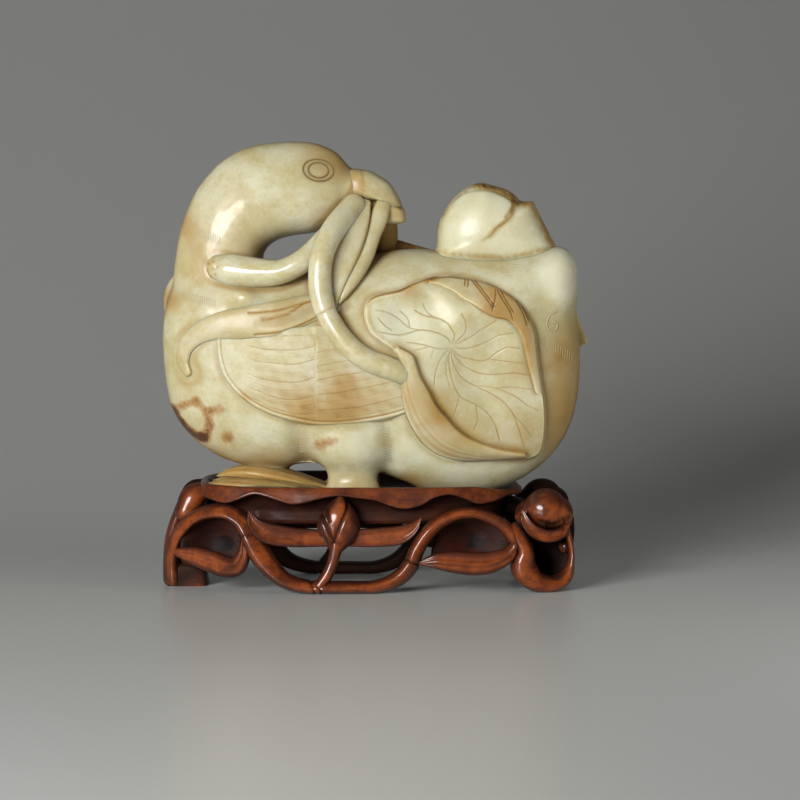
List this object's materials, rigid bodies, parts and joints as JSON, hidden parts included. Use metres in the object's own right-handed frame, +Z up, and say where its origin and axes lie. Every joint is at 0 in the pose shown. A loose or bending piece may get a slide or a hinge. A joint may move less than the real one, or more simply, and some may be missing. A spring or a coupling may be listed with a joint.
{
  "type": "jade duck figure group",
  "caption": "Polished stone carving of a duck turning its head back to hold a lotus spray in its bill, standing on a low openwork hardwood stand of vines and leaves.",
  "frame": {"origin": "on the floor under the centre of the whole figure's bounding box", "axes": "+Z up, -X towards the duck's breast, -Y out of the flank that carries the large lotus leaf"},
  "size_m": [0.1306, 0.0568, 0.135],
  "materials": {
    "jade": "waxy polish, pale celadon with russet stains",
    "hardwood": "dark reddish brown, polished"
  },
  "bodies": {
    "root": {"jade_duck": "jade", "hardwood_stand": "hardwood"}
  },
  "joints": []
}
